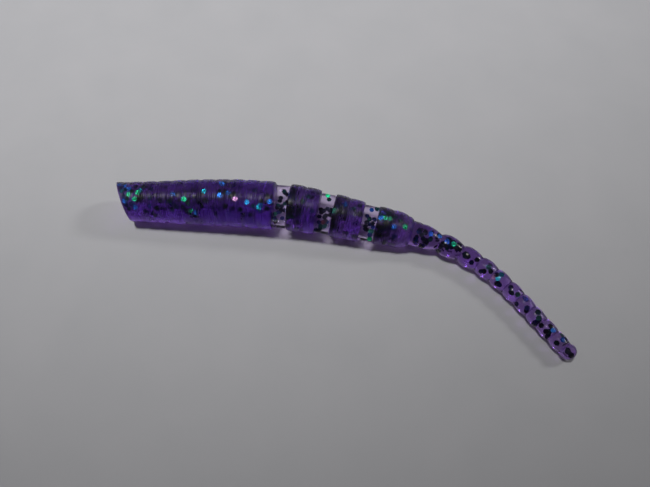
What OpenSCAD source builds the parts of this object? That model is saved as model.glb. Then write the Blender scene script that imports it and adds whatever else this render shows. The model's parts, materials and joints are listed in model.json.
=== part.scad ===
// Soft plastic worm: a ringed head, three collars on thin webs and a beaded tail that tapers,
// cast in clear tinted plastisol with hexagonal glitter flakes all through it.
// The nose is at the origin and the worm lies on its belly along +X, its tail curled towards -Y.

/* [Head] */
// Length of the head on its axis, from the flat nose to the first slot
head_length = 23.9; // [16:0.1:32]
// Diameter at the nose
nose_diameter = 6; // [4.5:0.1:7]
// Slant of the flat nose in plan, in degrees
nose_slant = 24; // [0:1:35]

/* [Body] */
// Greatest diameter, where the head meets the first slot
body_diameter = 7.5; // [6.5:0.1:9]
// Diameter at the end of the last collar, before its shoulder
waist_diameter = 5.3; // [4.6:0.1:6.4]
// Length of one moulded ring
ring_pitch = 2.3; // [1.6:0.1:3]
// Depth of the groove between two rings
ring_groove_depth = 0.15; // [0.05:0.01:0.3]
// Rings on each collar
collar_rings = 2; // [1:1:3]
// Length of the slot in front of each collar
slot_length = 2.3; // [2:0.1:3.5]
// Thickness of the flat web left in each slot
web_thickness = 1.7; // [1.2:0.1:2.4]
// Length of the rounded shoulder at the end of the last collar
shoulder_length = 2.2; // [1:0.1:3]
// How far the shoulder reaches past the rings of the last collar
shoulder_overhang = 0.85; // [0.4:0.05:1.2]

/* [Tail] */
// Diameter over the beads at the root of the tail
tail_root_diameter = 4; // [3.6:0.05:4.4]
// Diameter over the beads at the tip of the tail
tail_tip_diameter = 2.4; // [2.1:0.05:3]
// How much more the tail thins near its root than near its tip, 1 being even
tail_taper = 2; // [1:0.1:3]
// Length of a bead far from the root
bead_pitch = 2.2; // [2:0.05:3]
// Extra length of the first bead
root_stretch = 2.4; // [0:0.05:3]
// Share of the extra length that each next bead keeps
stretch_decay = 0.62; // [0.2:0.01:0.8]
// Length of the last bead
tip_length = 1.7; // [1.6:0.1:3]
// Length of the rounded end of the last bead
tip_round = 1.1; // [0.7:0.1:1.2]
// Depth of the notch between the shoulder and the first bead
root_notch_depth = 0.08; // [0.04:0.01:0.2]
// Depth of the notch between the first two beads
first_notch_depth = 0.5; // [0.2:0.01:0.55]
// Depth of the notches near the tip
last_notch_depth = 0.2; // [0.1:0.01:0.3]
// Share of the extra depth that each next notch keeps
notch_decay = 0.65; // [0.3:0.05:0.8]
// Length of the neck at the bottom of each notch
neck_length = 0.6; // [0.5:0.05:0.8]

/* [Resting curve] */
// Turn of the body between the head and the second collar, in degrees
body_turn = 9.5; // [0:0.5:15]
// Length over which the body turns
body_turn_length = 10; // [6:0.5:16]
// Turn of the tail, in degrees
tail_turn = 42; // [0:1:50]
// Length over which the tail turns
tail_turn_length = 25; // [20:0.5:30]
// Length over which the root of the tail comes down to the surface
root_drop_length = 8.5; // [7:0.5:14]

/* [Glitter] */
// Width of a flake across its flats
flake_width = 0.7; // [0.4:0.05:0.8]
// Thickness of a flake
flake_thickness = 0.05; // [0.03:0.01:0.1]
// Least cover of plastisol over a flake
flake_cover = 0.15; // [0.05:0.01:0.2]
// Flakes in the head
head_flake_count = 60; // [10:1:120]
// Flakes in each collar
collar_flake_count = 14; // [4:1:30]
// Flakes in each web
web_flake_count = 9; // [2:1:14]
// Flakes in each bead of the tail
bead_flake_count = 3; // [2:1:3]

/* [Hidden] */
collar_count = 3;
bead_count = 11;
collars = [1 : collar_count];
beads = [1 : bead_count];

plastisol_colour = [0.30, 0.17, 0.45];
web_colour = [0.52, 0.44, 0.62];
flake_colour = [0.10, 0.38, 0.62];

// Sides of a turned shape, and steps along one ring and one bead
turn_sides = 64;
ring_steps = 8;
bead_steps = 10;
// Powers that shape the thinning of the body towards its waist, and the flat crown of a ring
waist_taper = 1.25;
ring_flatness = 4;

nose_radius = nose_diameter / 2;
body_radius = body_diameter / 2;
waist_radius = waist_diameter / 2;
collar_length = collar_rings * ring_pitch;
// Larger than any section of the worm
clear_size = 3 * body_diameter;
flake_reach = flake_width / cos(30) / 2 + flake_cover;

function two_digits(number) = str(number < 10 ? "0" : "", number);
function part_after_point(value) = value - floor(value);
function eased(share) = let (t = min(1, max(0, share))) t * t * (3 - 2 * t);

// Stations are distances along the axis from the nose. Stations of the joints, in order from the nose:
// the middle of each web, then the middle of each neck of the tail.
tail_root = head_length + collar_count * (slot_length + collar_length) + shoulder_overhang;
function bead_length(k) = bead_pitch + root_stretch * pow(stretch_decay, k - 1);
function notch_station(k) = k == 1 ? tail_root : notch_station(k - 1) + bead_length(k - 1);
function web_station(i) = head_length + slot_length / 2 + (i - 1) * (slot_length + collar_length);
tip_station = notch_station(bead_count) + tip_length;
stations = concat(
    [0],
    [for (i = collars) web_station(i)],
    [for (k = beads) notch_station(k)],
    [tip_station]
);
segment_count = len(stations) - 1;
function collar_segment(i) = i;
function bead_segment(k) = collar_count + k;

// Radius over the rings of the head and collars, and over the beads of the tail
function head_radius(s) = nose_radius + (body_radius - nose_radius) * sin(90 * s / head_length);
function collars_radius(s) = body_radius - (body_radius - waist_radius)
    * pow((s - head_length) / (tail_root - head_length), waist_taper);
function ringed_radius(s) = s <= head_length ? head_radius(s) : collars_radius(min(s, tail_root));
function tail_radius(s) = (tail_tip_diameter + (tail_root_diameter - tail_tip_diameter)
    * pow(max(0, tip_station - s) / (tip_station - tail_root), tail_taper)) / 2;
function notch_depth(k) = k == 1
    ? root_notch_depth
    : last_notch_depth + (first_notch_depth - last_notch_depth) * pow(notch_decay, k - 2);
function notch_radius(k) = tail_radius(notch_station(k)) - notch_depth(k);

// Height of the axis over the belly line: the worm lies on its belly, and the root of the tail
// comes down to the surface from the height of the last collar
root_step = waist_radius - tail_radius(tail_root);
function axis_height(s) = s <= tail_root
    ? ringed_radius(s)
    : tail_radius(s) + root_step * (1 - eased((s - tail_root) / root_drop_length));

// Heading of the axis in plan, in degrees towards -Y
body_turn_start = head_length - (body_turn_length - slot_length - collar_length) / 2;
tail_turn_start = web_station(collar_count) + (slot_length + collar_length) / 2;
function heading_at(s) = body_turn * eased((s - body_turn_start) / body_turn_length)
    + tail_turn * eased((s - tail_turn_start) / tail_turn_length);

// Each segment is straight, from one joint to the next
function segment_length(i) = stations[i + 1] - stations[i];
function heading(i) = i == 0 ? 0 : heading_at((stations[i] + stations[i + 1]) / 2);
function climb(i) = asin((axis_height(stations[i + 1]) - axis_height(stations[i])) / segment_length(i));
function direction(i) = [
    cos(climb(i)) * cos(heading(i)),
    -cos(climb(i)) * sin(heading(i)),
    sin(climb(i))
];
function joint_point(i) = i == 0 ? [0, 0, 0] : joint_point(i - 1) + segment_length(i - 1) * direction(i - 1);
joint_points = [for (i = [0 : segment_count]) joint_point(i)];

// Where the solid of a segment starts and ends, measured from the joint at its front
function solid_start(i) = i == 0 ? 0 : i <= collar_count ? slot_length / 2 : neck_length / 2;
function solid_end(i) = segment_length(i)
    - (i < collar_count ? slot_length / 2 : i < segment_count - 1 ? neck_length / 2 : 0);

module on_segment(i) {
    translate(joint_points[i]) rotate([0, -climb(i), -heading(i)]) children();
}

// Frame halfway between the two segments that meet at a joint
module on_joint(i) {
    translate(joint_points[i])
        rotate([0, -(climb(i - 1) + climb(i)) / 2, -(heading(i - 1) + heading(i)) / 2])
            children();
}

// Everything from the first face of a segment's solid towards the tail
module behind_first_face(i) {
    on_segment(i) translate([solid_start(i), -clear_size / 2, -clear_size / 2]) cube(clear_size);
}

// Everything from the last face of a segment's solid towards the nose
module before_last_face(i) {
    on_segment(i) translate([solid_end(i) - clear_size, -clear_size / 2, -clear_size / 2]) cube(clear_size);
}

// Turns a profile of [radius, distance] points about the segment's axis
module turned(profile) {
    start = profile[0][1];
    end = profile[len(profile) - 1][1];
    rotate([0, 90, 0])
        rotate_extrude($fn = turn_sides)
            polygon(concat([[0, start]], profile, [[0, end]]));
}

// Depth of the ring grooves at a distance from the face where the rings start
function groove_at(distance) = ring_groove_depth
    * pow(abs(2 * part_after_point(distance / ring_pitch) - 1), ring_flatness);

// Radius of the last collar where it rounds down to the tail
shoulder_start = tail_root - neck_length / 2 - shoulder_length;
function shouldered(s, radius) = s <= shoulder_start
    ? radius
    : notch_radius(1) + (radius - notch_radius(1))
        * sqrt(max(0, 1 - pow((s - shoulder_start) / shoulder_length, 2)));

// The head runs past the nose, so that the slanted cut leaves a whole flat face
nose_overrun = nose_radius * tan(nose_slant) + ring_pitch / ring_steps;
head_step_count = ceil((head_length + nose_overrun) / ring_pitch * ring_steps);
head_profile = [
    for (step = [head_step_count : -1 : 0])
        let (back = step * ring_pitch / ring_steps)
            [head_radius(head_length - back) - groove_at(back), head_length - back]
];

function collar_profile(i) = let (
    segment = collar_segment(i),
    start = solid_start(segment),
    length = solid_end(segment) - start,
    step_count = ceil(length / ring_pitch * ring_steps)
) [
    for (step = [0 : step_count])
        let (
            along = length * step / step_count,
            s = stations[segment] + start + along
        )
            [shouldered(s, ringed_radius(s) - groove_at(along)), start + along]
];

// A bead swells from the notch at its front and falls to the notch at its end
function bead_profile(k) = let (
    segment = bead_segment(k),
    start = solid_start(segment),
    length = solid_end(segment) - start
) [
    for (step = [0 : bead_steps])
        let (
            t = step / bead_steps,
            s = stations[segment] + start + length * t,
            depth = notch_depth(t < 0.5 ? k : k + 1)
        )
            [tail_radius(s) - depth * pow(2 * t - 1, 2), start + length * t]
];

tip_neck_end = neck_length / 2;
tip_crest = tip_length - tip_round;
tip_profile = concat(
    [
        for (step = [0 : bead_steps])
            let (t = step / bead_steps, along = tip_neck_end + (tip_crest - tip_neck_end) * t)
                [
                    tail_radius(notch_station(bead_count) + along) - notch_depth(bead_count) * pow(1 - t, 2),
                    along
                ]
    ],
    [
        for (step = [1 : bead_steps])
            let (angle = 90 * step / bead_steps)
                [
                    tail_radius(notch_station(bead_count) + tip_crest) * cos(angle),
                    tip_crest + tip_round * sin(angle)
                ]
    ]
);

// Plastisol parts
module head() {
    color(plastisol_colour)
        difference() {
            on_segment(0) turned(head_profile);
            rotate([0, 0, nose_slant])
                translate([-clear_size, -clear_size / 2, -clear_size / 2])
                    cube(clear_size);
        }
}

module collar(i) {
    color(plastisol_colour) on_segment(collar_segment(i)) turned(collar_profile(i));
}

// What the slots leave between two faces: the round section of the body, cut flat above and below
module web(i) {
    width = 2 * ringed_radius(web_station(i));
    reach = slot_length + body_diameter;
    color(web_colour)
        difference() {
            on_joint(i)
                intersection() {
                    rotate([0, 90, 0]) cylinder(d = width, h = reach, center = true, $fn = turn_sides);
                    cube([2 * reach, 2 * width, web_thickness], center = true);
                }
            before_last_face(i - 1);
            behind_first_face(i);
        }
}

module tail_bead(k) {
    color(plastisol_colour)
        on_segment(bead_segment(k))
            turned(k == bead_count ? tip_profile : bead_profile(k));
}

module tail_neck(k) {
    joint = bead_segment(k);
    reach = neck_length + tail_root_diameter;
    color(plastisol_colour)
        difference() {
            on_joint(joint)
                rotate([0, 90, 0])
                    cylinder(r = notch_radius(k), h = reach, center = true, $fn = turn_sides);
            before_last_face(joint - 1);
            behind_first_face(joint);
        }
}

// Glitter. Flakes wind through a round solid like the seeds of a cone, facing away from its axis
seed_turn = 137.5;
flake_tilt = 25;
spread_steps = [0.819, 0.671, 0.550];
function spread(flake, way) = part_after_point(0.5 + flake * spread_steps[way]);
function either_way(flake, way) = 2 * spread(flake, way) - 1;

module flake(at, tilt, facing) {
    color(flake_colour)
        translate(at)
            rotate(facing)
                rotate(tilt)
                    cylinder(d = flake_width / cos(30), h = flake_thickness, center = true, $fn = 6);
}

// Flakes between two distances along a round solid; reach_out is how far from its axis they may sit
module flakes_in_round(count, first, start, end, reach_out) {
    least_out = min(flake_width / 2, reach_out);
    for (j = [0 : count - 1]) {
        seed = first + j;
        along = start + (end - start) * (j + 0.5) / count;
        out = least_out + (reach_out - least_out) * sqrt(spread(seed, 0));
        round = seed_turn * seed;
        flake(
            [along, out * cos(round), out * sin(round)],
            [flake_tilt * either_way(seed, 1), flake_tilt * either_way(seed, 2), 0],
            [round - 90, 0, 0]
        );
    }
}

module head_flakes() {
    on_segment(0)
        flakes_in_round(
            head_flake_count, 0,
            nose_radius * tan(nose_slant) + flake_reach, head_length - flake_reach,
            nose_radius - ring_groove_depth - flake_reach
        );
}

module collar_flakes(i) {
    segment = collar_segment(i);
    end_radius = i == collar_count ? notch_radius(1) : ringed_radius(web_station(i + 1));
    on_segment(segment)
        flakes_in_round(
            collar_flake_count, i * collar_flake_count,
            solid_start(segment) + flake_reach, solid_end(segment) - flake_reach,
            end_radius - ring_groove_depth - flake_reach
        );
}

// Flakes lie nearly flat in a web, side by side across it in two layers
module web_flakes(i) {
    half_width = sqrt(pow(ringed_radius(web_station(i)), 2) - pow(web_thickness / 2, 2));
    room = slot_length / 2 - flake_reach;
    layer = web_thickness / 4;
    tilt = flake_tilt / 3;
    on_joint(i)
        for (j = [0 : web_flake_count - 1]) {
            seed = i * web_flake_count + j;
            across = (half_width - flake_reach) * (2 * (j + 0.5) / web_flake_count - 1);
            height = layer * (j % 2 == 0 ? 1 : -1);
            flake(
                [room * either_way(seed, 0), across, height],
                [tilt * either_way(seed, 1), tilt * either_way(seed, 2), 0],
                [0, 0, seed_turn * seed]
            );
        }
}

// The last bead is small and holds one flake less
module bead_flakes(k) {
    segment = bead_segment(k);
    last = k == bead_count;
    on_segment(segment)
        flakes_in_round(
            last ? bead_flake_count - 1 : bead_flake_count,
            k * bead_flake_count,
            solid_start(segment) + flake_reach, solid_end(segment) - flake_reach,
            notch_radius(last ? k : k + 1) - flake_reach
        );
}

head();
head_flakes();
for (i = collars) {
    web(i);
    web_flakes(i);
    collar(i);
    collar_flakes(i);
}
for (k = beads) {
    tail_neck(k);
    tail_bead(k);
    bead_flakes(k);
}
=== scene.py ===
import bisect
import json
import math
import random

import bpy
from mathutils import Euler, Matrix, Vector

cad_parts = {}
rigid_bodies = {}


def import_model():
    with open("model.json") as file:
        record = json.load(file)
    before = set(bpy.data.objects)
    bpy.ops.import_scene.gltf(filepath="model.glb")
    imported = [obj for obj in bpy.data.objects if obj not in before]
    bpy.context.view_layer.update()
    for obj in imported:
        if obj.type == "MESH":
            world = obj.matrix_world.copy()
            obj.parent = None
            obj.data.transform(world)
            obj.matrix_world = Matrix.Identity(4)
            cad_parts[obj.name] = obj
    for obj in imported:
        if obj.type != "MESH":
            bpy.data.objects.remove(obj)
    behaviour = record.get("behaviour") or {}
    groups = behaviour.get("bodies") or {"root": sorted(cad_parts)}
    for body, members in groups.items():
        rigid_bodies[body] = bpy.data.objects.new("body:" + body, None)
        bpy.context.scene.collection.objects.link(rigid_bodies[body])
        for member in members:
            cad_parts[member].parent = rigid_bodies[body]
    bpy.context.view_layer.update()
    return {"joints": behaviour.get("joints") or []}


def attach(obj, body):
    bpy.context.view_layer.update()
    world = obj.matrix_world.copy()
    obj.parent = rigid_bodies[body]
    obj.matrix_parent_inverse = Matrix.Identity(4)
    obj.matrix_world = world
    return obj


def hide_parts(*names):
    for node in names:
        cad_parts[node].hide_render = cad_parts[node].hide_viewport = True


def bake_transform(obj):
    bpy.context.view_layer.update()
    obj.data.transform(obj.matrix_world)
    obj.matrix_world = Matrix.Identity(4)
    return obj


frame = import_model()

# Looks of a soft plastic worm: one casting of clear violet plastisol, full of hexagonal glitter.
# Every piece is modelled straight along X, the nose at 0, and then bent to the worm's resting line.

MM = 0.001  # sizes below are in millimetres, angles in degrees, powers in watts

# Sizes of the casting
NOSE_RADIUS = 3.0
NOSE_SLANT = 24
NOSE_CHAMFER = 0.12
BODY_RADIUS = 3.75
WAIST_RADIUS = 2.65
WAIST_TAPER = 1.25
SLOT_LENGTH = 2.3
WEB_THICKNESS = 1.7
WEB_EDGE_ROUND = 0.8
RING_PITCH = 2.3
RING_GROOVE = 0.15
RING_FLATNESS = 4
NOSE_RING_SHARE = 0.3
NOSE_FADE_RINGS = 2
COLLAR_RINGS = 2
STRIATION_PERIODS = (0.29, 0.38, 0.53)
STRIATION_DEPTH = 0.012
FACE_ROUND = 0.15
SHOULDER_LENGTH = 2.5
TAIL_ROOT_RADIUS = 2.0
TAIL_TIP_RADIUS = 1.2
TAIL_TAPER = 2
ROOT_NOTCH_DEPTH = 0.08
FIRST_NOTCH_DEPTH = 0.5
LAST_NOTCH_DEPTH = 0.2
NOTCH_DECAY = 0.65
BEAD_LEAN = 0.8
FAINT_GROOVE_PLACE = 1.5
FAINT_GROOVE_WIDTH = 0.35
FAINT_GROOVE_DEPTH = 0.1
TIP_LENGTH = 1.7
TIP_ROUND = 1.1
BALL_REACH = 12
BEND_LENGTH = 1.2
OVERLAP = 0.02
LUMP_SIZE = 2.5
LUMP_HEIGHT = 0.06

# How finely the pieces are modelled
BODY_SIDES = 96
TAIL_SIDES = 64
STRIATION_STEP = 0.04
STEPS_PER_BEAD = 24
STEPS_PER_ROUND = 12
STEPS_PER_BALL = 4
WEB_STEPS = 12
WEB_EDGE_STEPS = 10
LINE_STEPS = 32
MERGE_DISTANCE = 0.001
CUT_TOLERANCE = 0.0001
SAME_WAY = 0.999
CASTING_SMOOTH_ANGLE = 50
FLAKE_SMOOTH_ANGLE = 20

# Sizes, numbers and random seeds of the glitter
FLAKE_CORNERS = 6
FLAKE_WIDTH = 0.7
FLAKE_THICKNESS = 0.03
FLAKE_CROWN = FLAKE_THICKNESS / 4
FLAKE_CUSHION = 0.08
FLAKE_COVER = 0.12
FLAKE_MARGIN = FLAKE_COVER + FLAKE_WIDTH / 4
FLAKE_TILT = 28
GLINT_COVER = 0.2
GLINT_TILT = 5
NOSE_CLEARANCE = 1.4
HEAD_FLAKES = 140
WEB_FLAKES = 7
WEB_FLAKES_FROM = -0.9
WEB_FLAKES_TO = 0.35
COLLAR_FLAKES = 75
COLLAR_CROWDING = 2.4
ROOT_BEADS = 2
ROOT_BEAD_FLAKES = 16
BEAD_FLAKES = 3
HEAD_SEED = 21
WEB_SEED = 30
COLLAR_SEED = 40
BEAD_SEED = 60

# Table, light and camera
TABLE_SIZE = 5000
TABLE_HEIGHT = -3.1
CEILING_LAMP_PLACE = (-70, 20, 600)
CEILING_LAMP_AIM = (-20, 170, 0)
CEILING_LAMP_RADIUS = 60
CEILING_LAMP_POWER = 15.5
CEILING_LAMP_CONE = 48
CEILING_LAMP_BLEND = 0.75
SIDE_LAMP_PLACE = (1035, 400, 750)
SIDE_LAMP_AIM = (0, 0, 0)
SIDE_LAMP_RADIUS = 110
SIDE_LAMP_POWER = 17
ROOM_OVERHEAD = (0, 0.17, 0.98)
ROOM_BRIGHT = 0.07
ROOM_BRIGHT_WITHIN = 0.9  # cosine of the angle from overhead
ROOM_DIM = 0.03
ROOM_DIM_BEYOND = 0.4  # cosine of the angle from overhead
CAMERA_PLACE = (34.36, -45.81, 75.43)
CAMERA_AIM = (32.03, -4.18, -3.0)
LENS = 31.2
SENSOR = 36
NEAREST_SEEN = 5

# Places along the worm
joints = frame["joints"]
joint_places = [Vector(joint["pos_m"]) / MM for joint in joints]
tail_end = joint_places[-1] + TIP_LENGTH * (joint_places[-1] - joint_places[-2]).normalized()
line_places = [Vector((0, 0, 0)), *joint_places, tail_end]
stations = [0.0]
for before, after in zip(line_places, line_places[1:]):
    stations.append(stations[-1] + (after - before).length)

web_count = sum(joint["name"].startswith("web") for joint in joints)
bead_count = len(joints) - web_count
head_end = stations[1] - SLOT_LENGTH / 2
tail_root = stations[web_count + 1]
tail_tip = stations[-1]


def eased(share):
    """A smooth step from 0 to 1."""
    t = min(1, max(0, share))
    return t * t * (3 - 2 * t)


# Radius of the casting along its axis


def envelope(station):
    """Radius over the rings of the head and the collars."""
    if station <= head_end:
        share = station / head_end
        return NOSE_RADIUS + (BODY_RADIUS - NOSE_RADIUS) * math.sin(math.pi / 2 * share)
    share = min(1, (station - head_end) / (tail_root - head_end))
    return BODY_RADIUS - (BODY_RADIUS - WAIST_RADIUS) * share ** WAIST_TAPER


def ring_groove(distance):
    """Depth below the envelope, at a distance from the face where the rings start."""
    share = distance / RING_PITCH % 1
    return RING_GROOVE * abs(2 * share - 1) ** RING_FLATNESS


def striation(distance, piece_number):
    """Depth of the fine uneven lines that the mould's cutter left round every ring."""
    waves = (math.sin(math.tau * distance / period + piece_number) for period in STRIATION_PERIODS)
    return STRIATION_DEPTH * sum(waves)


def edge_round(distance):
    """How far the rim of a flat face is rounded in, at a distance from that face."""
    inside = max(0, FACE_ROUND - distance)
    return FACE_ROUND - math.sqrt(FACE_ROUND ** 2 - inside ** 2)


def tail_radius(station):
    """Radius over the beads of the tail."""
    share = max(0, tail_tip - station) / (tail_tip - tail_root)
    return TAIL_TIP_RADIUS + (TAIL_ROOT_RADIUS - TAIL_TIP_RADIUS) * share ** TAIL_TAPER


def notch_depth(number):
    """Depth of the notch in front of a bead."""
    if number == 1:
        return ROOT_NOTCH_DEPTH
    return LAST_NOTCH_DEPTH + (FIRST_NOTCH_DEPTH - LAST_NOTCH_DEPTH) * NOTCH_DECAY ** (number - 2)


def faint_groove(station):
    """Depth of the faint ring on the first bead."""
    share = abs(station - tail_root - FAINT_GROOVE_PLACE) / FAINT_GROOVE_WIDTH
    return FAINT_GROOVE_DEPTH * (1 - eased(share))


def spaced(start, end, steps):
    """Even steps from start to end, both with them."""
    return [start + (end - start) * step / steps for step in range(steps + 1)]


def fine_steps(start, end):
    """Stations close enough to follow every striation."""
    return spaced(start, end, round((end - start) / STRIATION_STEP))


# Modelling


def start_fresh():
    """Leaves edit mode and selects nothing."""
    if bpy.context.object and bpy.context.object.mode != "OBJECT":
        bpy.ops.object.mode_set(mode="OBJECT")
    bpy.ops.object.select_all(action="DESELECT")


def turned(name, outline, sides):
    """A closed solid turned round the X axis from an outline of (station, radius) points."""
    start_fresh()
    first, radius = outline[0]
    bpy.ops.mesh.primitive_plane_add(size=MM, location=(first * MM, 0, radius * MM))
    piece = bpy.context.object
    piece.name = name
    bpy.ops.object.transform_apply(location=True)
    bpy.ops.object.mode_set(mode="EDIT")
    bpy.ops.mesh.select_mode(type="VERT")
    bpy.ops.mesh.select_all(action="SELECT")
    bpy.ops.mesh.merge(type="CENTER")
    for (x, z), (next_x, next_z) in zip(outline, outline[1:]):
        step = ((next_x - x) * MM, 0, (next_z - z) * MM)
        bpy.ops.mesh.extrude_vertices_move(TRANSFORM_OT_translate={"value": step})
    bpy.ops.mesh.select_all(action="SELECT")
    bpy.ops.mesh.spin(steps=sides, angle=2 * math.pi, center=(0, 0, 0), axis=(1, 0, 0))
    bpy.ops.mesh.select_all(action="SELECT")
    bpy.ops.mesh.remove_doubles(threshold=MERGE_DISTANCE * MM)
    bpy.ops.mesh.normals_make_consistent(inside=False)
    bpy.ops.object.mode_set(mode="OBJECT")
    return piece


def select_only(piece, kind, wanted):
    """Opens a piece in edit mode with only its wanted faces, or edges, selected."""
    bpy.ops.object.mode_set(mode="EDIT")
    bpy.ops.mesh.select_mode(type=kind)
    bpy.ops.mesh.select_all(action="DESELECT")
    bpy.ops.object.mode_set(mode="OBJECT")
    parts = piece.data.polygons if kind == "FACE" else piece.data.edges
    for part in parts:
        part.select = wanted(part)
    bpy.ops.object.mode_set(mode="EDIT")


def apply_modifier(piece, kind, **settings):
    """Adds a modifier to a piece and applies it."""
    modifier = piece.modifiers.new(kind.title(), kind)
    for name, value in settings.items():
        setattr(modifier, name, value)
    bpy.context.view_layer.objects.active = piece
    bpy.ops.object.modifier_apply(modifier=modifier.name)


def make_resting_line():
    """The line through every bending place, from the nose to the tip."""
    line = bpy.data.curves.new("resting_line", "CURVE")
    line.dimensions = "3D"
    line.twist_mode = "Z_UP"
    line.resolution_u = LINE_STEPS
    spline = line.splines.new("BEZIER")
    spline.bezier_points.add(len(line_places) - 1)
    for knot, place in zip(spline.bezier_points, line_places):
        knot.co = place * MM
        knot.handle_left_type = "AUTO"
        knot.handle_right_type = "AUTO"
    holder = bpy.data.objects.new("resting_line", line)
    bpy.context.scene.collection.objects.link(holder)
    return holder


def lay_down(piece, smooth_angle=CASTING_SMOOTH_ANGLE):
    """Bends a straight piece to the resting line and smooths its shading."""
    apply_modifier(piece, "CURVE", object=resting_line, deform_axis="POS_X")
    start_fresh()
    piece.select_set(True)
    bpy.context.view_layer.objects.active = piece
    bpy.ops.object.shade_smooth_by_angle(angle=math.radians(smooth_angle))


def roughen(piece):
    """Gives a piece the slight lumps of a hand-poured casting."""
    apply_modifier(piece, "DISPLACE", texture=lumps, texture_coords="LOCAL", strength=LUMP_HEIGHT * MM)


def moving_with(piece, joint_index, first, last):
    """Bakes a piece's placement into its mesh. The stretch across a joint, between two distances from it
    along the worm, is worked out but not used.
    """
    place = joint_places[joint_index]
    along = (line_places[joint_index + 2] - line_places[joint_index]).normalized()
    start = (place + first * along) * MM
    end = (place + last * along) * MM
    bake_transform(piece)


def follow_neck(piece, joint_index):
    """Lets a piece of the tail turn whole behind a neck that sways; behind one that lifts, its placement
    is only baked into its mesh.

    A blend has no steady pivot on an upright axis once other joints turn too."""
    joint = joints[joint_index]
    if joint["name"].endswith("lift"):
        moving_with(piece, joint_index, 0, BEND_LENGTH)
    else:
        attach(piece, joint["child"])


resting_line = make_resting_line()
lumps = bpy.data.textures.new("lumps", "CLOUDS")
lumps.noise_scale = LUMP_SIZE * MM

# Finishes

# Plastisol
PLASTISOL_IOR = 1.47
DYE = (0.47, 0.07, 0.84, 1)
CLEAR_TINT = (0.95, 0.93, 0.98, 1)
CLOUDY_TINT = (0.90, 0.86, 0.97, 1)
# Painted shade: the plastisol's colour darkens towards this where its surface turns away from the view
PAINTED_RIM_SHADE = (0.12, 0.04, 0.24, 1)
CLOUD_SIZE = 3.0
GREASE_SIZE = 1.2
GREASE_LEAST = 0.6
GREASE_SPREAD = 0.6
STREAK_WIDTH = 0.16
STREAK_STRETCH = (1, 14, 14)

# Glitter film
FILM_ROUGHNESS = 0.34
SCUFF_SIZE = 0.25
SCUFF_SHARE = 0.35
SCUFF_COLOUR = (0.01, 0.01, 0.02, 1)
SCUFF_ROUGHNESS = 0.25

# Table top
LAMINATE_COLOUR = (0.36, 0.36, 0.375, 1)
LAMINATE_ROUGHNESS = 0.5
LAMINATE_GLOSS = 0.3
MOTTLE_COLOUR = (0.40, 0.395, 0.41, 1)
MOTTLE_SIZE = 9.0
MOTTLE_DETAIL = 4
GRAIN_SIZE = 0.4
GRAIN_ROUGHNESS = 0.2


class Value:
    """A socket of a finish, for maths in plain Python."""

    def __init__(self, finish, socket):
        self.finish = finish
        self.socket = socket

    def maths(self, operation, first, second):
        """What a Math node makes of two values."""
        node = self.finish.add("ShaderNodeMath", {"operation": operation}, {0: first, 1: second})
        return Value(self.finish, node.outputs[0])

    def __add__(self, other):
        return self.maths("ADD", self, other)

    def __mul__(self, other):
        return self.maths("MULTIPLY", self, other)

    __radd__ = __add__
    __rmul__ = __mul__


class Finish:
    """A material, or the room's light, built node by node."""

    def __init__(self, holder):
        holder.use_nodes = True
        self.holder = holder
        self.tree = holder.node_tree
        self.tree.nodes.clear()

    def add(self, kind, settings, inputs):
        """Adds a node: its settings first, then the values or links of its sockets."""
        node = self.tree.nodes.new(kind)
        for name, value in settings.items():
            setattr(node, name, value)
        for name, value in inputs.items():
            if isinstance(value, Value):
                value = value.socket
            if isinstance(value, bpy.types.NodeSocket):
                self.tree.links.new(value, node.inputs[name])
            else:
                node.inputs[name].default_value = value
        return node

    def noise(self, size, detail=2, stretch=(1, 1, 1)):
        """Soft noise on Object coordinates, with lumps of a size in millimetres times a stretch."""
        place = self.add("ShaderNodeTexCoord", {}, {}).outputs["Object"]
        scale = [1 / (size * MM * longer) for longer in stretch]
        drawn_out = self.add("ShaderNodeMapping", {}, {"Vector": place, "Scale": scale}).outputs[0]
        sockets = {"Vector": drawn_out, "Scale": 1.0, "Detail": detail}
        return Value(self, self.add("ShaderNodeTexNoise", {}, sockets).outputs["Fac"])

    def mix(self, share, first, second):
        """A colour between two others."""
        node = self.add("ShaderNodeMix", {"data_type": "RGBA"}, {0: share, 6: first, 7: second})
        return node.outputs[2]

    def bump(self, height, depth):
        """A normal from a height, with its depth in millimetres."""
        sockets = {"Height": height, "Strength": 1.0, "Distance": depth * MM}
        return self.add("ShaderNodeBump", {}, sockets).outputs["Normal"]

    def principled(self, **sockets):
        """The surface, with socket names written with underscores."""
        named = {name.replace("_", " "): value for name, value in sockets.items()}
        return self.add("ShaderNodeBsdfPrincipled", {}, named)

    def output(self, **shaders):
        """Ends a material with its shaders, and returns it."""
        sockets = {name: node.outputs[0] for name, node in shaders.items()}
        self.add("ShaderNodeOutputMaterial", {}, sockets)
        return self.holder


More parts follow.
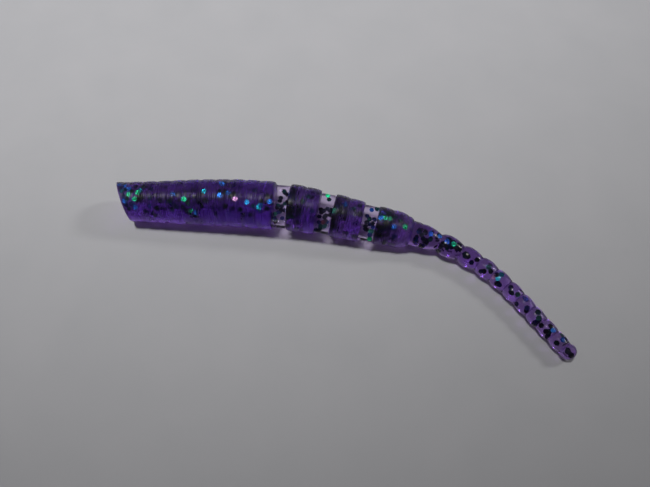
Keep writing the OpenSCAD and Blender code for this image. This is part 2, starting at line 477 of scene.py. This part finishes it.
def make_plastisol(name, clarity, haze, dye_density, sheen, streak_depth, lamp_pass, rim_shade_blend):
    """Clear soft PVC with a violet dye that deepens with thickness, and painted shade that darkens it
    towards the rims.

    Each of its skins lets a share of a lamp's light, lamp_pass, through to what is in or under it."""
    finish = Finish(bpy.data.materials.new(name))
    cloud = finish.noise(CLOUD_SIZE)
    grease = finish.noise(GREASE_SIZE)
    streaks = finish.noise(STREAK_WIDTH, stretch=STREAK_STRETCH)
    # Painted shade at the rims, stronger where the surface turns away from the view
    slope = finish.add("ShaderNodeLayerWeight", {}, {"Blend": rim_shade_blend})
    rim = Value(finish, slope.outputs["Facing"])
    body_tint = finish.mix(cloud, CLEAR_TINT, CLOUDY_TINT)
    surface = finish.principled(
        Base_Color=finish.mix(rim * rim * rim, body_tint, PAINTED_RIM_SHADE),
        Roughness=haze * (GREASE_LEAST + GREASE_SPREAD * grease),
        IOR=PLASTISOL_IOR,
        Specular_Tint=(sheen, sheen, sheen, 1),
        Transmission_Weight=clarity,
        Normal=finish.bump(streaks, streak_depth),
    )
    dye = finish.add("ShaderNodeVolumeAbsorption", {}, {"Color": DYE, "Density": dye_density})
    lamp_tint = (lamp_pass, lamp_pass, lamp_pass, 1)
    clear = finish.add("ShaderNodeBsdfTransparent", {}, {"Color": lamp_tint})
    shadow = finish.add("ShaderNodeLightPath", {}, {}).outputs["Is Shadow Ray"]
    sockets = {0: shadow, 1: surface.outputs[0], 2: clear.outputs[0]}
    skin = finish.add("ShaderNodeMixShader", {}, sockets)
    return finish.output(Surface=skin, Volume=dye)


def make_glitter():
    """Metallised film: each flake carries a colour of its own, or a darker copy of one as painted shade.
    """
    finish = Finish(bpy.data.materials.new("glitter_film"))
    film = finish.add("ShaderNodeAttribute", {"attribute_name": "film"}, {}).outputs["Color"]
    scuff = finish.noise(SCUFF_SIZE)
    surface = finish.principled(
        Base_Color=finish.mix(SCUFF_SHARE * scuff, film, SCUFF_COLOUR),
        Metallic=1.0,
        Roughness=FILM_ROUGHNESS + SCUFF_ROUGHNESS * scuff,
    )
    return finish.output(Surface=surface)


def make_table_top():
    """Pale grey laminate with a faint mottle."""
    finish = Finish(bpy.data.materials.new("pale_laminate"))
    mottle = finish.noise(MOTTLE_SIZE, MOTTLE_DETAIL)
    grain = finish.noise(GRAIN_SIZE)
    surface = finish.principled(
        Base_Color=finish.mix(mottle, LAMINATE_COLOUR, MOTTLE_COLOUR),
        Roughness=LAMINATE_ROUGHNESS + GRAIN_ROUGHNESS * grain,
        Specular_IOR_Level=LAMINATE_GLOSS,
    )
    return finish.output(Surface=surface)


body_plastisol = make_plastisol(
    "body_plastisol", clarity=0.997, haze=0.34, dye_density=320, sheen=0.25,
    streak_depth=0.06, lamp_pass=0.17, rim_shade_blend=0.35,
)
web_plastisol = make_plastisol(
    "web_plastisol", clarity=1.0, haze=0.05, dye_density=190, sheen=0.4,
    streak_depth=0.001, lamp_pass=0.55, rim_shade_blend=0.35,
)
tail_plastisol = make_plastisol(
    "tail_plastisol", clarity=0.997, haze=0.14, dye_density=450, sheen=0.3,
    streak_depth=0.004, lamp_pass=0.165, rim_shade_blend=0.6,
)
glitter = make_glitter()


def cast(piece, finish, slot, *nodes):
    """Gives a piece of the casting its finish, and hides the nodes that it stands for. Its slot is not
    used.
    """
    piece.data.materials.append(finish)
    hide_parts(*nodes)


# Head


def make_head():
    """The ringed head, cut off slantwise at the nose."""
    overrun = -2 * NOSE_RADIUS
    outline = [(overrun, 0)]
    for station in fine_steps(overrun, head_end):
        distance = head_end - station
        groove = ring_groove(distance) + striation(distance, 0)
        fade = eased(station / (NOSE_FADE_RINGS * RING_PITCH))
        settled = NOSE_RING_SHARE + (1 - NOSE_RING_SHARE) * fade
        radius = envelope(max(0, station)) - settled * groove - edge_round(distance)
        outline.append((station, radius))
    outline.append((head_end, 0))
    head = turned("head_moulding", outline, BODY_SIDES)
    slant = math.radians(NOSE_SLANT)
    nose_way = Vector((-math.cos(slant), -math.sin(slant), 0))
    bpy.ops.object.mode_set(mode="EDIT")
    bpy.ops.mesh.select_all(action="SELECT")
    bpy.ops.mesh.bisect(
        plane_co=-nose_way * NOSE_CHAMFER / 2 * MM, plane_no=nose_way,
        use_fill=True, clear_outer=True, threshold=CUT_TOLERANCE * MM,
    )

    def on_nose(face):
        level = abs(face.center.dot(nose_way)) < NOSE_CHAMFER * MM
        return level and face.normal.dot(nose_way) > SAME_WAY

    select_only(head, "FACE", on_nose)
    bpy.ops.mesh.inset(thickness=NOSE_CHAMFER * MM, depth=NOSE_CHAMFER / 2 * MM)
    bpy.ops.object.mode_set(mode="OBJECT")
    roughen(head)
    lay_down(head)
    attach(head, joints[0]["parent"])
    cast(head, body_plastisol, "plastisol", "head")


# Collars


def make_collar(number):
    """A ringed collar behind a slot. The last one falls to the root of the tail in a shoulder."""
    start = stations[number] + SLOT_LENGTH / 2
    last = number == web_count
    end = tail_root if last else stations[number + 1] - SLOT_LENGTH / 2
    shoulder_start = tail_root - SHOULDER_LENGTH
    root = tail_radius(tail_root) - ROOT_NOTCH_DEPTH
    outline = [(start, 0)]
    for station in fine_steps(start, end):
        distance = station - start
        groove = ring_groove(distance) + striation(distance, number)
        radius = envelope(station) - groove - edge_round(distance)
        if not last:
            radius -= edge_round(end - station)
        elif station > shoulder_start:
            share = (station - shoulder_start) / SHOULDER_LENGTH
            radius = root + (radius - root) * math.sqrt(max(0, 1 - share ** 2))
        outline.append((station, radius))
    if last:
        end += OVERLAP
        outline.append((end, root))
    outline.append((end, 0))
    collar = turned(f"collar_{number}_moulding", outline, BODY_SIDES)
    roughen(collar)
    lay_down(collar)
    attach(collar, joints[number - 1]["child"])
    cast(collar, body_plastisol, "plastisol", f"collar_{number}")


# Webs


def make_web(number):
    """What a slot leaves: a flat bar as wide as the round body, its long edges rounded."""
    start = stations[number] - SLOT_LENGTH / 2 - OVERLAP
    end = stations[number] + SLOT_LENGTH / 2 + OVERLAP
    width = 2 * envelope(stations[number])
    start_fresh()
    bpy.ops.mesh.primitive_cube_add(
        size=MM, location=(stations[number] * MM, 0, 0), scale=(end - start, width, WEB_THICKNESS)
    )
    web = bpy.context.object
    web.name = f"web_{number}_moulding"
    bpy.ops.object.transform_apply(location=True, scale=True)

    def lengthwise(edge):
        first, second = (web.data.vertices[index].co for index in edge.vertices)
        return abs(first.x - second.x) > SLOT_LENGTH / 2 * MM

    select_only(web, "EDGE", lengthwise)
    bpy.ops.mesh.bevel(offset=WEB_EDGE_ROUND * MM, segments=WEB_EDGE_STEPS, affect="EDGES")
    for cut in spaced(start, end, WEB_STEPS)[1:-1]:
        bpy.ops.mesh.select_all(action="SELECT")
        bpy.ops.mesh.bisect(plane_co=(cut * MM, 0, 0), plane_no=(1, 0, 0), threshold=CUT_TOLERANCE * MM)
    bpy.ops.object.mode_set(mode="OBJECT")
    lay_down(web)
    moving_with(web, number - 1, -SLOT_LENGTH / 2, SLOT_LENGTH / 2)
    cast(web, web_plastisol, "clear_web", f"web_{number}")


# Tail


def ball_front(number, start):
    """The front of a bead: part of a ball round its joint, which keeps the notch closed as it turns."""
    radius = tail_radius(start) - notch_depth(number) - OVERLAP
    turns = spaced(math.radians(BALL_REACH), 0, STEPS_PER_BALL)
    ball = [(start - radius * math.sin(turn), radius * math.cos(turn)) for turn in turns]
    return [(ball[0][0], 0), *ball]


def bead_outline(number, start, end):
    """A bead that swells soon behind the notch at its front, and falls to the notch at its end."""
    outline = ball_front(number, start)
    for share in spaced(0, 1, STEPS_PER_BEAD)[1:]:
        station = start + (end - start) * share
        lean = share ** BEAD_LEAN
        depth = notch_depth(number if lean < 0.5 else number + 1)
        radius = tail_radius(station) - depth * (2 * lean - 1) ** 2 - faint_groove(station)
        outline.append((station, radius))
    outline.append((end, 0))
    return outline


def tip_outline(start, end):
    """The last bead, which ends in a dome."""
    crest = end - TIP_ROUND
    depth = notch_depth(bead_count)
    outline = ball_front(bead_count, start)
    for share in spaced(0, 1, STEPS_PER_ROUND)[1:]:
        station = start + (crest - start) * share
        outline.append((station, tail_radius(station) - depth * (1 - share) ** 2))
    for turn in spaced(0, math.pi / 2, STEPS_PER_ROUND)[1:]:
        radius = tail_radius(crest) * max(0, math.cos(turn))
        outline.append((crest + TIP_ROUND * math.sin(turn), radius))
    return outline


def make_bead(number):
    """A bead of the tail, with the neck in front of it."""
    index = web_count + number
    start, end = stations[index], stations[index + 1]
    name = f"tail_bead_{number:02d}"
    outline = tip_outline(start, end) if number == bead_count else bead_outline(number, start, end)
    bead = turned(f"{name}_moulding", outline, TAIL_SIDES)
    lay_down(bead)
    follow_neck(bead, index - 1)
    cast(bead, tail_plastisol, "plastisol", name, f"tail_neck_{number:02d}")


# Glitter

FILMS = {
    "black": (0.006, 0.007, 0.012),
    "navy": (0.008, 0.012, 0.06),
    "bottle": (0.006, 0.03, 0.025),
    # Painted shade: darker copies of blue, teal and green film, for flakes that catch less of the lamp
    "dim_blue": (0.006, 0.05, 0.2),
    "dim_teal": (0.005, 0.09, 0.11),
    "dim_green": (0.005, 0.16, 0.06),
    "dim_red": (0.02, 0.004, 0.008),
    "blue": (0.02, 0.17, 0.52),
    "teal": (0.01, 0.31, 0.35),
    "cyan": (0.03, 0.40, 0.70),
    "green": (0.01, 0.44, 0.16),
    "pink": (0.66, 0.36, 0.58),
}
DARK_FILMS = ["black", "navy", "bottle"]
FLAT_FILMS = {*DARK_FILMS, "dim_red"}
FILM_SHARES = {"black": 34, "navy": 32, "bottle": 24, "dim_blue": 5, "dim_teal": 3, "dim_green": 2}

# Flakes that stand out, just under the surface: station, angle round the axis from the near side up, film
BODY_GLINTS = [
    (-0.4, 140, "navy"), (-0.2, 125, "dim_blue"), (0.3, 108, "navy"), (0.4, 128, "black"),
    (0.6, 92, "dim_teal"), (1.0, 75, "navy"), (1.1, 98, "bottle"), (1.3, 60, "dim_blue"),
    (1.5, 48, "black"), (1.6, 66, "bottle"), (2.2, 92, "bottle"), (2.6, 110, "navy"),
    (0.8, 115, "dim_blue"), (1.8, 100, "dim_blue"), (1.8, 80, "green"), (3.2, 86, "green"),
    (2.8, 66, "green"), (3.5, 95, "dim_teal"), (1.9, 35, "bottle"), (2.9, 40, "dim_blue"),
    (2.4, 50, "navy"), (3.9, 70, "black"), (6.9, 62, "black"), (8.8, 80, "dim_blue"),
    (10.6, 66, "green"), (11.6, 35, "dim_green"), (12.3, 28, "dim_blue"), (11.2, 27, "navy"),
    (11.2, 55, "bottle"), (13.6, 88, "teal"), (14.0, 62, "black"), (15.9, 118, "blue"),
    (16.2, 112, "dim_blue"), (16.0, 77, "blue"), (17.2, 84, "dim_blue"), (18.4, 69, "pink"),
    (19.3, 42, "bottle"), (20.2, 62, "cyan"), (22.1, 52, "teal"), (22.4, 56, "dim_blue"),
    (23.6, 68, "blue"), (23.3, 50, "navy"), (5.2, 100, "navy"), (9.4, 45, "navy"),
    (21.2, 95, "navy"), (17.0, 50, "black"), (6.3, 40, "black"), (28.4, 80, "bottle"),
    (30.1, 60, "navy"), (34.7, 100, "dim_blue"), (36.9, 110, "bottle"), (40.4, 85, "blue"),
    (41.0, 90, "dim_green"), (41.7, 90, "dim_green"), (42.6, 65, "dim_blue"), (43.3, 92, "bottle"),
    (44.2, 75, "dim_green"),
]
TAIL_GLINTS = [
    (46.4, 75, "navy"), (46.9, 65, "black"), (47.3, 50, "navy"), (48.2, 95, "dim_blue"),
    (49.6, 110, "blue"), (48.4, 60, "bottle"), (51.0, 90, "dim_blue"), (52.0, 95, "green"),
    (50.9, 60, "black"), (52.6, 80, "black"), (51.6, 70, "navy"), (54.9, 65, "black"),
    (55.8, 40, "navy"), (57.8, 20, "navy"), (58.3, 85, "bottle"), (59.9, 80, "black"),
    (60.4, 110, "dim_teal"), (60.4, 65, "teal"), (59.8, 50, "pink"), (64.0, 80, "bottle"),
    (65.3, 105, "navy"), (66.3, 60, "navy"), (64.9, 10, "navy"), (68.4, 75, "bottle"),
    (69.4, 45, "black"), (70.9, 100, "blue"), (70.4, 40, "black"), (72.7, 105, "dim_blue"),
    (72.5, 40, "bottle"), (74.3, 60, "black"),
]

# Flakes that stand out in the webs: distance along from the middle of the web, distance across, film
WEB_GLINTS = [
    [
        (0.0, 2.7, "bottle"), (0.2, 2.4, "black"), (0.6, 2.2, "black"), (-0.4, 0.9, "black"),
        (-0.3, 1.3, "black"), (0.5, 0.4, "bottle"), (0.8, 0.7, "black"), (-0.6, -0.5, "black"),
        (0.1, -0.9, "black"), (-0.3, -1.3, "navy"), (0.6, -0.7, "black"), (-0.7, -1.7, "navy"),
        (0.5, -2.4, "navy"),
    ],
    [
        (-0.2, 3.0, "green"), (0.1, 2.6, "bottle"), (-0.8, 0.6, "black"), (-0.3, 0.4, "black"),
        (0.2, 0.6, "black"), (0.6, 0.4, "black"), (0.8, 0.8, "bottle"), (-0.8, -0.7, "navy"),
        (-0.6, -0.2, "black"), (0.1, -0.4, "bottle"), (0.5, -1.4, "dim_blue"),
        (0.0, -1.9, "dim_red"), (0.8, -0.3, "black"), (-0.8, -3.0, "navy"), (-0.4, -3.1, "black"),
    ],
    [
        (0.0, 2.1, "dim_blue"), (-0.5, 0.9, "navy"), (-0.1, 0.8, "black"), (-0.3, -0.3, "black"),
        (-0.4, -0.9, "black"), (-0.1, -1.3, "black"), (0.8, 0.6, "black"), (0.6, -0.1, "black"),
        (0.6, -1.6, "dim_green"), (0.5, -2.2, "navy"), (0.6, -2.8, "dim_green"),
        (0.8, 2.6, "bottle"),
    ],
]


def make_flake():
    """One hexagonal flake, its faces slightly cushioned where the cutter pressed the rim."""
    start_fresh()
    bpy.ops.mesh.primitive_cylinder_add(
        vertices=FLAKE_CORNERS, radius=FLAKE_WIDTH / math.sqrt(3) * MM, depth=FLAKE_THICKNESS * MM
    )
    flake = bpy.context.object
    flake.name = "flake"
    select_only(flake, "FACE", lambda face: abs(face.normal.z) > SAME_WAY)
    bpy.ops.mesh.inset(
        thickness=FLAKE_CUSHION * MM, depth=FLAKE_CROWN * MM, use_individual=True
    )
    bpy.ops.object.mode_set(mode="OBJECT")
    return flake


def sprinkle(name, flakes, node):
    """Joins copies of the flake, each with its place and its film, into one straight group."""
    start_fresh()
    for place, film in flakes:
        copy = one_flake.copy()
        copy.data = one_flake.data.copy()
        copy.data.transform(place)
        colour = copy.data.attributes.new("film", "FLOAT_COLOR", "POINT")
        for point in colour.data:
            point.color = (*FILMS[film], 1)
        bpy.context.scene.collection.objects.link(copy)
        copy.select_set(True)
    bpy.context.view_layer.objects.active = copy
    bpy.ops.object.join()
    group = bpy.context.object
    group.name = name
    lay_down(group, FLAKE_SMOOTH_ANGLE)
    group.data.materials.append(glitter)
    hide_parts(node)
    return group


def outward(angle):
    """The way out from the axis at an angle round it, in a straight piece."""
    turn = math.radians(angle)
    return Vector((0, -math.cos(turn), math.sin(turn)))


def bent_in(way, skin):
    """Bends the way of light outside the plastisol to its way inside. The skin is given by its normal."""
    steepness = way.dot(skin)
    steepness_inside = math.sqrt(1 - (1 - steepness ** 2) / PLASTISOL_IOR ** 2)
    return way / PLASTISOL_IOR + (steepness_inside - steepness / PLASTISOL_IOR) * skin


def mirror_way(at, skin):
    """How a flake in a straight piece has to face to throw the ceiling lamp's light to the camera."""
    index = max(0, bisect.bisect_right(stations, at.x) - 1)
    along = (line_places[index + 1] - line_places[index]).normalized()
    turn = along.to_track_quat("X", "Z")
    place = line_places[index] + turn @ (at - Vector((stations[index], 0, 0)))
    ways = [(Vector(end) - place).normalized() for end in (CAMERA_PLACE, CEILING_LAMP_PLACE)]
    halfway = sum((bent_in(way, turn @ skin) for way in ways), Vector())
    return turn.inverted() @ halfway.normalized()


def flake_place(chance, at, way, tilt):
    """Where a flake lies in a straight piece and which way it faces, give or take a tilt."""
    facing = way.to_track_quat("Z", "Y").to_matrix().to_4x4()
    tilts = [math.radians(chance.gauss(0, tilt)) for _ in "xy"]
    lean = Euler([*tilts, chance.uniform(0, math.tau)])
    return Matrix.Translation(at * MM) @ facing @ lean.to_matrix().to_4x4()


def glint_place(chance, at, skin, film):
    """Where a flake lies that stands out: bright film mirrors the lamp, dark film lies with the skin."""
    way = skin if film in FLAT_FILMS else mirror_way(at, skin)
    return flake_place(chance, at, way, GLINT_TILT)


def pick_film(chance):
    """A film by chance, each with its share."""
    return chance.choices(list(FILM_SHARES), list(FILM_SHARES.values()))[0]


def between(start, end, glints):
    """The glints whose stations lie in a stretch."""
    return [glint for glint in glints if start <= glint[0] < end]


def flakes_in_round(seed, count, start, end, wall, glints, crowding=1):
    """Flakes in a round stretch of the casting, where wall gives its radius at a station.

    With a crowding over 1 they lie closer together at its start."""
    chance = random.Random(seed)
    flakes = []
    for _ in range(count):
        share = chance.random() ** crowding
        station = start + FLAKE_WIDTH / 2 + (end - start - FLAKE_WIDTH) * share
        radius = (wall(station) - FLAKE_MARGIN) * math.sqrt(chance.random())
        way = outward(chance.uniform(0, 360))
        at = Vector((station, 0, 0)) + radius * way
        flakes.append((flake_place(chance, at, way, FLAKE_TILT), pick_film(chance)))
    for station, angle, film in glints:
        skin = outward(angle)
        at = Vector((station, 0, 0)) + (wall(station) - GLINT_COVER) * skin
        flakes.append((glint_place(chance, at, skin, film), film))
    return flakes


def flakes_in_web(seed, count, number):
    """Flakes in a web, nearly level: the ones that stand out, and dark ones, mostly on its near side."""
    chance = random.Random(seed)
    half_width = envelope(stations[number]) - FLAKE_WIDTH
    half_height = WEB_THICKNESS / 2 - FLAKE_MARGIN
    spots = list(WEB_GLINTS[number - 1])
    for _ in range(count):
        along = chance.uniform(-0.5, 0.5) * (SLOT_LENGTH - FLAKE_WIDTH)
        across = chance.uniform(WEB_FLAKES_FROM, WEB_FLAKES_TO) * half_width
        spots.append((along, across, chance.choice(DARK_FILMS)))
    flakes = []
    for along, across, film in spots:
        at = Vector((stations[number] + along, across, chance.uniform(-1, 1) * half_height))
        flakes.append((glint_place(chance, at, Vector((0, 0, 1)), film), film))
    return flakes


def body_wall(station):
    """Radius under the rings of the head and the collars."""
    return envelope(station) - RING_GROOVE


def tail_wall(station):
    """Radius of the tail under its nearest notch."""
    numbers = range(1, bead_count + 1)
    nearest = min(numbers, key=lambda number: abs(stations[web_count + number] - station))
    return tail_radius(station) - notch_depth(nearest)


def fill_head():
    """Glitter in the head."""
    glints = between(-NOSE_RADIUS, head_end, BODY_GLINTS)
    flakes = flakes_in_round(HEAD_SEED, HEAD_FLAKES, NOSE_CLEARANCE, head_end, body_wall, glints)
    head = sprinkle("head_glitter", flakes, "head_flakes")
    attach(head, joints[0]["parent"])


def fill_web(number):
    """Glitter in a web."""
    flakes = flakes_in_web(WEB_SEED + number, WEB_FLAKES, number)
    web = sprinkle(f"web_{number}_glitter", flakes, f"web_{number}_flakes")
    moving_with(web, number - 1, -SLOT_LENGTH / 2, SLOT_LENGTH / 2)


def fill_collar(number):
    """Glitter in a collar, crowded at its front."""
    start = stations[number] + SLOT_LENGTH / 2
    end = start + COLLAR_RINGS * RING_PITCH
    glints = between(start, end, BODY_GLINTS)
    flakes = flakes_in_round(
        COLLAR_SEED + number, COLLAR_FLAKES, start, end, body_wall, glints, COLLAR_CROWDING
    )
    collar = sprinkle(f"collar_{number}_glitter", flakes, f"collar_{number}_flakes")
    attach(collar, joints[number - 1]["child"])


def fill_bead(number):
    """Glitter in a bead, more of it at the root of the tail."""
    index = web_count + number
    start, end = stations[index], stations[index + 1]
    count = ROOT_BEAD_FLAKES if number <= ROOT_BEADS else BEAD_FLAKES
    glints = between(start, end, TAIL_GLINTS)
    flakes = flakes_in_round(BEAD_SEED + number, count, start, end, tail_wall, glints)
    bead = sprinkle(f"tail_bead_{number:02d}_glitter", flakes, f"tail_bead_{number:02d}_flakes")
    follow_neck(bead, index - 1)


# The worm, piece by piece

make_head()
for number in range(1, web_count + 1):
    make_web(number)
    make_collar(number)
for number in range(1, bead_count + 1):
    make_bead(number)
one_flake = make_flake()
fill_head()
for number in range(1, web_count + 1):
    fill_web(number)
    fill_collar(number)
for number in range(1, bead_count + 1):
    fill_bead(number)
bpy.data.objects.remove(one_flake)
bpy.data.objects.remove(resting_line)


# Surroundings


def make_table():
    """The table that the worm lies on."""
    start_fresh()
    bpy.ops.mesh.primitive_plane_add(size=TABLE_SIZE * MM, location=(0, 0, TABLE_HEIGHT * MM))
    table = bpy.context.object
    table.name = "table"
    bpy.ops.object.transform_apply(location=True)
    table.data.materials.append(make_table_top())


def aimed(name, data, place, aim):
    """A lamp or camera at a place, pointed at another."""
    holder = bpy.data.objects.new(name, data)
    holder.location = Vector(place) * MM
    holder.rotation_euler = (Vector(aim) - Vector(place)).to_track_quat("-Z", "Y").to_euler()
    bpy.context.scene.collection.objects.link(holder)
    return holder


def make_lamps():
    """A spot in the ceiling and a bare lamp far to the side."""
    ceiling = bpy.data.lights.new("ceiling_lamp", "SPOT")
    ceiling.energy = CEILING_LAMP_POWER
    ceiling.shadow_soft_size = CEILING_LAMP_RADIUS * MM
    ceiling.spot_size = math.radians(CEILING_LAMP_CONE)
    ceiling.spot_blend = CEILING_LAMP_BLEND
    aimed("ceiling_lamp", ceiling, CEILING_LAMP_PLACE, CEILING_LAMP_AIM)
    side = bpy.data.lights.new("side_lamp", "POINT")
    side.energy = SIDE_LAMP_POWER
    side.shadow_soft_size = SIDE_LAMP_RADIUS * MM
    aimed("side_lamp", side, SIDE_LAMP_PLACE, SIDE_LAMP_AIM)


def make_room():
    """A dim grey room, brighter overhead."""
    room = Finish(bpy.data.worlds.new("room"))
    way = room.add("ShaderNodeTexCoord", {}, {}).outputs["Generated"]
    sockets = {0: way, 1: ROOM_OVERHEAD}
    facing = room.add("ShaderNodeVectorMath", {"operation": "DOT_PRODUCT"}, sockets).outputs["Value"]
    sockets = {"Value": facing, "From Min": ROOM_DIM_BEYOND, "From Max": ROOM_BRIGHT_WITHIN}
    share = room.add("ShaderNodeMapRange", {"interpolation_type": "SMOOTHSTEP"}, sockets)
    dim = (ROOM_DIM, ROOM_DIM, ROOM_DIM, 1)
    bright = (ROOM_BRIGHT, ROOM_BRIGHT, ROOM_BRIGHT, 1)
    glow = room.mix(share.outputs["Result"], dim, bright)
    background = room.add("ShaderNodeBackground", {}, {"Color": glow})
    room.add("ShaderNodeOutputWorld", {}, {"Surface": background.outputs[0]})
    bpy.context.scene.world = room.holder


def make_camera():
    """A camera at the photo's viewing angle."""
    camera = bpy.data.cameras.new("camera")
    camera.lens = LENS
    camera.sensor_width = SENSOR
    camera.clip_start = NEAREST_SEEN * MM
    bpy.context.scene.camera = aimed("camera", camera, CAMERA_PLACE, CAMERA_AIM)


make_table()
make_lamps()
make_room()
make_camera()
bpy.context.scene.view_settings.view_transform = "Standard"
